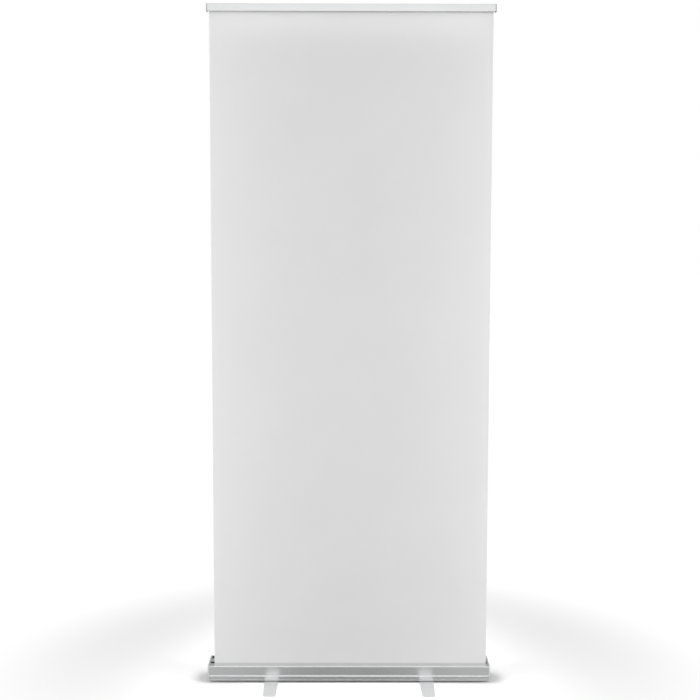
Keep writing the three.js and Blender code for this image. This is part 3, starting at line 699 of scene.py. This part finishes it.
# 0 at the slot and at the rail, 1 through most of the height: a smooth step from each end
near_slot = np.clip((rise - top) / HELD, 0, 1)
near_rail = np.clip((rail_low[2] - rise) / HELD, 0, 1)
slack = (near_slot ** 2 * (3 - 2 * near_slot)) * (near_rail ** 2 * (3 - 2 * near_rail))
from_edge = np.minimum(u, 1 - u) * width
sway = (EDGE_LIFT * np.exp(-(from_edge / EDGE_REACH) ** 1.5)
        + WAVE * np.sin(2 * math.pi * (1.5 * u + 0.15)) * np.sin(2 * math.pi * (1.0 * v + 0.1)))
surface = np.stack([film_low[0] + width * u + 0 * v, plane + slack * sway, rise + 0 * u], -1)


def slab(middle, thickness):
    """A thin sheet from a grid of points: the grid moved half a thickness each way along Y,
    its two faces joined round all four sides. Returns points and faces, front face first."""
    rows, columns = middle.shape[:2]
    offset = np.array([0, thickness / 2, 0])
    both = np.vstack([(middle - offset).reshape(-1, 3), (middle + offset).reshape(-1, 3)])
    number = np.arange(rows * columns).reshape(rows, columns)
    faces = np.stack([number[:-1, :-1], number[:-1, 1:],
                      number[1:, 1:], number[1:, :-1]], -1).reshape(-1, 4)
    rim = np.concatenate([number[0], number[1:, -1], number[-1, -2::-1], number[-2:0:-1, 0]])
    sides = np.stack([rim, np.roll(rim, -1), np.roll(rim, -1) + rows * columns, rim + rows * columns], 1)
    return both, np.vstack([faces, faces + rows * columns, sides]).tolist()


film_points, film_faces = slab(surface, film_high[1] - film_low[1])
film = bpy.data.objects.new("banner", make_mesh("banner", film_points, film_faces))
settle(film, "rail", blank_film, ["banner_film"])
normals = np.empty(len(film.data.polygons) * 3)
film.data.polygons.foreach_get("normal", normals)
back_face = film.data.attributes.new("back_face", "FLOAT", "FACE")
back_face.data.foreach_set("value", (normals.reshape(-1, 3)[:, 1] > 0.5).astype(np.float32))
rail_joint = next(joint for joint in frame["joints"] if joint["name"] == "rail_travel")
RAIL_TRAVEL = -rail_joint["range_m"][0]
1 - RAIL_TRAVEL * 1000 / length
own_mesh(film)
choose("receiver", film_strip, [film])
choose("receiver", overhead, [film, floor], "EXCLUDE")

# ---- Mast
# Three drawn aluminium tubes that slide in each other, their mouths rolled smooth, with
# nylon plugs below and twist-lock collars between them.

drawn_up = finish_material("anodised_tube_along_z", anodised(LINES_ALONG_Z))
nylon = moulded("black_nylon", (0.016, 0.016, 0.018), (0.040, 0.040, 0.043), 0.42)
for word, body in (("lower", "base"), ("middle", "mast_middle"), ("upper", "rail")):
    low, high = millimetres(f"mast_{word}_tube")
    radius, tube_wall = (high[0] - low[0]) / 2, 1.1
    mouth = tube_wall / 2
    arc = np.linspace(0, math.pi, 7)
    rolled = [(radius - mouth + mouth * math.cos(a), high[2] - mouth + mouth * math.sin(a)) for a in arc]
    mesh = turned_mesh(f"mast_{word}", [
        (radius - tube_wall, low[2]), (radius - 0.2, low[2]), (radius, low[2] + 0.3), *rolled],
        (MAST_X, MAST_Y, 0))
    settle(bpy.data.objects.new(f"mast_{word}", mesh), body, drawn_up,
           [f"mast_{word}_tube"])
refinish(nylon, "mast_lower_plug", "mast_middle_plug", "mast_upper_plug", "mast_socket")

FLUTES = 12


def collar_grid(low, high, outer, wide_bore, narrow_bore, step):
    """A collar turned about Z, with flutes: r = profile(h) - depth(h) (1 - cos(flutes t)) / 2,
    where the depth fades to nothing at both ends of the grip."""
    sides = FLUTES * 12
    t = np.linspace(0, 2 * math.pi, sides, endpoint=False)[None]
    grip_low, grip_high = low + 3, high - 12
    h = np.array([low, low, low + 0.4, low + 1.4, *np.linspace(grip_low, grip_high, 14),
                  high - 10.6, high - 9.8, high - 9.4, high - 4.0, high - 1.2, high - 0.3, high,
                  high, step, step, low])
    r = np.array([wide_bore, outer - 1.2, outer - 0.4, outer, *np.full(14, outer),
                  outer, outer - 0.5, outer - 1.0, outer - 1.3, outer - 2.3, outer - 3.3, outer - 4.0,
                  narrow_bore, narrow_bore, wide_bore, wide_bore])
    depth = np.zeros_like(h)
    depth[4:18] = 0.8 * np.sin(np.linspace(0, math.pi, 14)) ** 0.35
    radius = r[:, None] - depth[:, None] * (1 - np.cos(FLUTES * t)) / 2
    grid = np.stack([radius * np.cos(t), radius * np.sin(t), h[:, None] + 0 * t], -1)
    return grid.reshape(-1, 3), band(sides, len(h))


for word, below, above in (("lower", "lower", "middle"), ("upper", "middle", "upper")):
    low, high = millimetres(f"lock_collar_{word}")
    tube_low, tube_high = millimetres(f"mast_{below}_tube")
    next_low, next_high = millimetres(f"mast_{above}_tube")
    points, faces = collar_grid(
        low[2], high[2], (high[0] - low[0]) / 2, (tube_high[0] - tube_low[0]) / 2 + 0.3,
        (next_high[0] - next_low[0]) / 2 + 0.3, tube_high[2] + 0.3)
    collar = bpy.data.objects.new(
        f"collar_{word}", make_mesh(f"collar_{word}", points + np.array([MAST_X, MAST_Y, 0]), faces))
    settle(collar, f"collar_{word}", nylon, [f"lock_collar_{word}"])

# ---- Mast hook
# A nylon moulding pressed over the top tube. Its tongue stands up inside the rail's back.


def softened(name, node, width):
    """A copy of a CAD node, merged, its flat areas joined and its edges rounded."""
    mesh = frame["nodes"][node].data.copy()
    work = bmesh.new()
    work.from_mesh(mesh)
    bmesh.ops.remove_doubles(work, verts=work.verts, dist=1e-6)
    bmesh.ops.dissolve_limit(work, angle_limit=math.radians(1), verts=work.verts, edges=work.edges)
    bmesh.ops.recalc_face_normals(work, faces=work.faces)
    sharp = [e for e in work.edges if len(e.link_faces) == 2 and e.calc_face_angle() > math.radians(40)]
    bmesh.ops.bevel(work, geom=sharp, offset=width * 0.001, segments=3, profile=0.5,
                    affect="EDGES", clamp_overlap=True)
    bmesh.ops.triangulate(work, faces=[f for f in work.faces if len(f.verts) > 4])
    work.to_mesh(mesh)
    work.free()
    return bpy.data.objects.new(name, mesh)


settle(softened("hook", "mast_hook", 0.5), "rail", nylon, ["mast_hook"])

# ---- Top rail
# Two aluminium extrusions hinged along their top edge: the shell, which hangs on the mast,
# and the front jaw, which snaps shut on the film. A rubber strip lies along each rib.

jaw_low, jaw_high = millimetres("rail_jaw")
rail_foot = rail_low[2]
HINGE = (jaw_low[1] + 3.4, jaw_high[2] - 3.4)
BEAD, SOCKET = 1.5, 1.8  # radii of the hinge's bead, and of the socket that turns on it
face, roof = jaw_low[1], rail_high[2]
rib = 2.95               # from the film's plane to each rib


def arc_points(centre, radius, start, end, steps):
    """Points of an arc in Y and Z, in degrees from +Y towards +Z."""
    a = np.radians(np.linspace(start, end, steps + 1))
    return np.stack([centre[0] + radius * np.cos(a), centre[1] + radius * np.sin(a)], 1)


shell_back = filleted([
    (rail_high[1] - 5.6, rail_foot, 0.5), (rail_high[1] - 5.6, roof - 3, 0.4),
    (rail_high[1] - 1.6, roof - 3, 0.4), (rail_high[1] - 1.6, rail_foot + 9.5, 0.35),
    (rail_high[1], rail_foot + 9.5, 0.5), (rail_high[1], roof - 1, 0.9),
    (rail_high[1] - 1.0, roof, 0.6), (HINGE[0] + 5.0, roof, 0.5),
    (HINGE[0] + 4.2, roof - 0.8, 0.3), (HINGE[0] + 4.2, HINGE[1] + 0.5, 0.15)])
shell_inside = filleted([
    (HINGE[0] + 5.8, HINGE[1] - 0.5, 0.2), (HINGE[0] + 5.8, roof - 2, 0.3),
    (rail_high[1] - 7.6, roof - 2, 0.4), (rail_high[1] - 7.6, rail_foot + 2, 0.4),
    (plane + rib + 1.6, rail_foot + 2, 0.4), (plane + rib + 1.6, rail_foot + 9, 0.4),
    (plane + rib, rail_foot + 9, 0.4), (plane + rib, rail_foot, 0.3)])
NECK_ANGLE = math.degrees(math.asin(0.5 / BEAD))
shell_outline = np.vstack([
    shell_back, arc_points(HINGE, BEAD, NECK_ANGLE, 360 - NECK_ANGLE, 22), shell_inside])


OUTER = SOCKET + 1.6
jaw_front = filleted([
    (face, HINGE[1], 0), (face, rail_foot, 0.7), (plane - rib, rail_foot, 0.3),
    (plane - rib, rail_foot + 9, 0.4), (plane - rib - 1.6, rail_foot + 9, 0.4),
    (plane - rib - 1.6, rail_foot + 2, 0.4), (face + 2, rail_foot + 2, 0.5),
    (face + 2, HINGE[1] - OUTER, 0)])
jaw_outline = np.vstack([
    arc_points(HINGE, OUTER, 95, 178, 12), jaw_front,
    arc_points(HINGE, OUTER, 244, 330, 10), arc_points(HINGE, SOCKET, 330, 95, 24)])
for name, outline, body, node in (("rail_back", shell_outline, "rail", "rail_shell"),
                                  ("rail_front", jaw_outline, "jaw", "rail_jaw")):
    bar = section_solid(name, [outline], [(rail_low[0], 0), (rail_high[0], 0)])
    settle(bar, body, extruded, [node])


def rubber_grain(finish):
    """Matt rubber: a dusty bloom over a fine grain."""
    where = place_on_piece(finish, (1, 1, 1))
    grain = noise(finish, where, 1300.0, 3.0)
    bloom = noise(finish, where, 90.0, 3.0)
    bump = finish.node("ShaderNodeBump", {}, {
        "Strength": 0.4, "Distance": 0.0004, "Height": grain})
    return {
        "Base Color": blend_colors(finish, bloom * 0.6 + grain * 0.4,
                                   (0.012, 0.012, 0.013), (0.05, 0.05, 0.052)),
        "Roughness": 0.78 + bloom * 0.14,
        "Normal": bump,
    }


rubber = finish_material("matt_rubber", rubber_grain)
dull_spray = finish_material("sprayed_grey", sprayed((0.40, 0.405, 0.41), (0.52, 0.525, 0.53)))
refinish(rubber, "rail_grip_front", "rail_grip_back")

for side, word in ((-1, "left"), (1, "right")):
    plate_low, plate_high = millimetres(f"rail_cap_{word}")
    outer = plate_low[0] if side < 0 else plate_high[0]
    inner = outer - side * 3
    silhouette = filleted([
        (plate_high[1], plate_high[2], 2.4), (plate_low[1], plate_high[2], 2.4),
        (plate_low[1], plate_low[2], 2.0), (plate_high[1], plate_low[2], 2.0)], 8)
    plate = section_solid(f"rail_end_{word}", [silhouette], [
        (inner, 0.2), (inner + side * 0.2, 0), *rounded_end(outer, side, 0.9)])
    settle(plate, "rail", dull_spray, [f"rail_cap_{word}"])

# ---- Feet
# Flat aluminium bars, blanked with round corners and pressed down at both ends. Each turns
# on a rivet through the base, over a nylon washer, and stands on two rubber pads.


def blasted(finish):
    """Aluminium blasted with fine grit and anodised: pale and dull, its pits in the bump, and a painted
    glint that lightens the colour where the pit noise is high.
    """
    where = place_on_piece(finish, (1, 1, 1))
    pits = noise(finish, where, 1100.0, 4.0, 0.7)
    cloud = noise(finish, where, 24.0, 3.0)
    bump = finish.node("ShaderNodeBump", {}, {
        "Strength": 0.35, "Distance": 0.0003, "Height": pits})
    return {
        # painted highlight: the pit noise lightens the colour, standing for a glint in each pit
        "Base Color": blend_colors(finish, pits * 0.6 + cloud * 0.4,
                                   (0.76, 0.765, 0.77), (0.97, 0.975, 0.98)),
        "Metallic": 0.30,
        "Roughness": 0.46 + cloud * 0.14,
        "Normal": bump,
    }


blasted_bar = finish_material("blasted_bar", blasted)
FOOT_BEND, FOOT_DROP = 30, 1.9   # how far from its tip a bar is pressed down, and by how much
BAR_ROUNDING = 0.5


def bar_solid(outline, low, high, half):
    """An outline in X and Y made into a bar between two heights, its edges rounded by rings
    set in along the outline. The last FOOT_BEND of it is lowered: z - FOOT_DROP s ** 1.15,
    where s runs from 0 to 1 at the tip."""
    a = np.linspace(0, math.pi / 2, 4)
    rings = [(low + BAR_ROUNDING * (1 - math.cos(x)), BAR_ROUNDING * (1 - math.sin(x))) for x in a]
    rings += [(high - BAR_ROUNDING * (1 - math.cos(x)), BAR_ROUNDING * (1 - math.sin(x)))
              for x in a[::-1]]
    count = len(outline)
    points = np.vstack([np.column_stack([outline - side_normals(outline) * inset, np.full(count, z)])
                        for z, inset in rings])
    faces = band(count, len(rings))
    for first in (0, (len(rings) - 1) * count):
        faces += [[first + i, first + i + 1, first + count - 2 - i, first + count - 1 - i]
                  for i in range(count // 2 - 1)]
    share = np.clip((np.abs(points[:, 1]) - (half - FOOT_BEND)) / FOOT_BEND, 0, 1)
    points[:, 2] -= FOOT_DROP * share ** 1.15
    return points, faces


def foot_outline(half, wide, tip, corner):
    """Half of the plan from tip to tip, then its mirror image: x(s) = the bar's half width,
    tapering beyond a third of its length, with a quarter circle at each tip."""
    a = np.linspace(0, math.pi / 2, 9)
    corner_y = half - corner + corner * np.cos(a)
    corner_x = tip - corner + corner * np.sin(a)
    straight_y = np.linspace(half - corner, -(half - corner), 60)[1:-1]
    taper = np.clip((np.abs(straight_y) - half * 0.35) / (half * 0.65), 0, 1)
    straight_x = wide + (tip - wide) * taper
    x = np.concatenate([corner_x, straight_x, corner_x[::-1]])
    y = np.concatenate([corner_y, straight_y, -corner_y[::-1]])
    right = np.stack([x, y], 1)
    left = np.stack([-x, y], 1)[::-1]
    return np.vstack([right, left])[::-1]


for word, (pivot_x, pivot_y) in foot_places.items():
    bar_low, bar_high = millimetres(f"foot_{word}")
    half = (bar_high[1] - bar_low[1]) / 2
    wide = (bar_high[0] - bar_low[0]) / 2
    pad_top = millimetres(f"foot_pad_{word}_front")[1][2]
    bar_under = pad_top + 0.3
    outline = foot_outline(half, wide, wide - 2, 5)
    points, faces = bar_solid(outline, bar_under, bar_high[2], half)
    foot = bpy.data.objects.new(
        f"bar_{word}", make_mesh(f"bar_{word}", points + np.array([pivot_x, pivot_y, 0]), faces))
    cut(foot, bore((pivot_x, pivot_y, 0), RIVET_HOLE, (bar_under - 3, bar_high[2] + 3)))
    settle(foot, f"foot_{word}", blasted_bar, [f"foot_{word}"])
    refinish(nylon, f"foot_washer_{word}")
    refinish(bright_zinc, f"foot_rivet_{word}")
    for end in ("front", "rear"):
        low, high = millimetres(f"foot_pad_{word}_{end}")
        radius = (high[0] - low[0]) / 2
        middle = (low + high)[:2] / 2
        pad = bpy.data.objects.new(f"pad_{word}_{end}", turned_mesh(f"pad_{word}_{end}", [
            (0, low[2]), (radius - 4, low[2]), (radius - 4, low[2] + 0.3), (radius - 3.2, low[2] + 0.3),
            (radius - 3.2, low[2]), (radius - 0.8, low[2]), (radius - 0.2, low[2] + 0.3),
            (radius, low[2] + 0.9), (radius, high[2]), (0, high[2])], (*middle, 0)))
        settle(pad, f"foot_{word}", rubber, [f"foot_pad_{word}_{end}"])
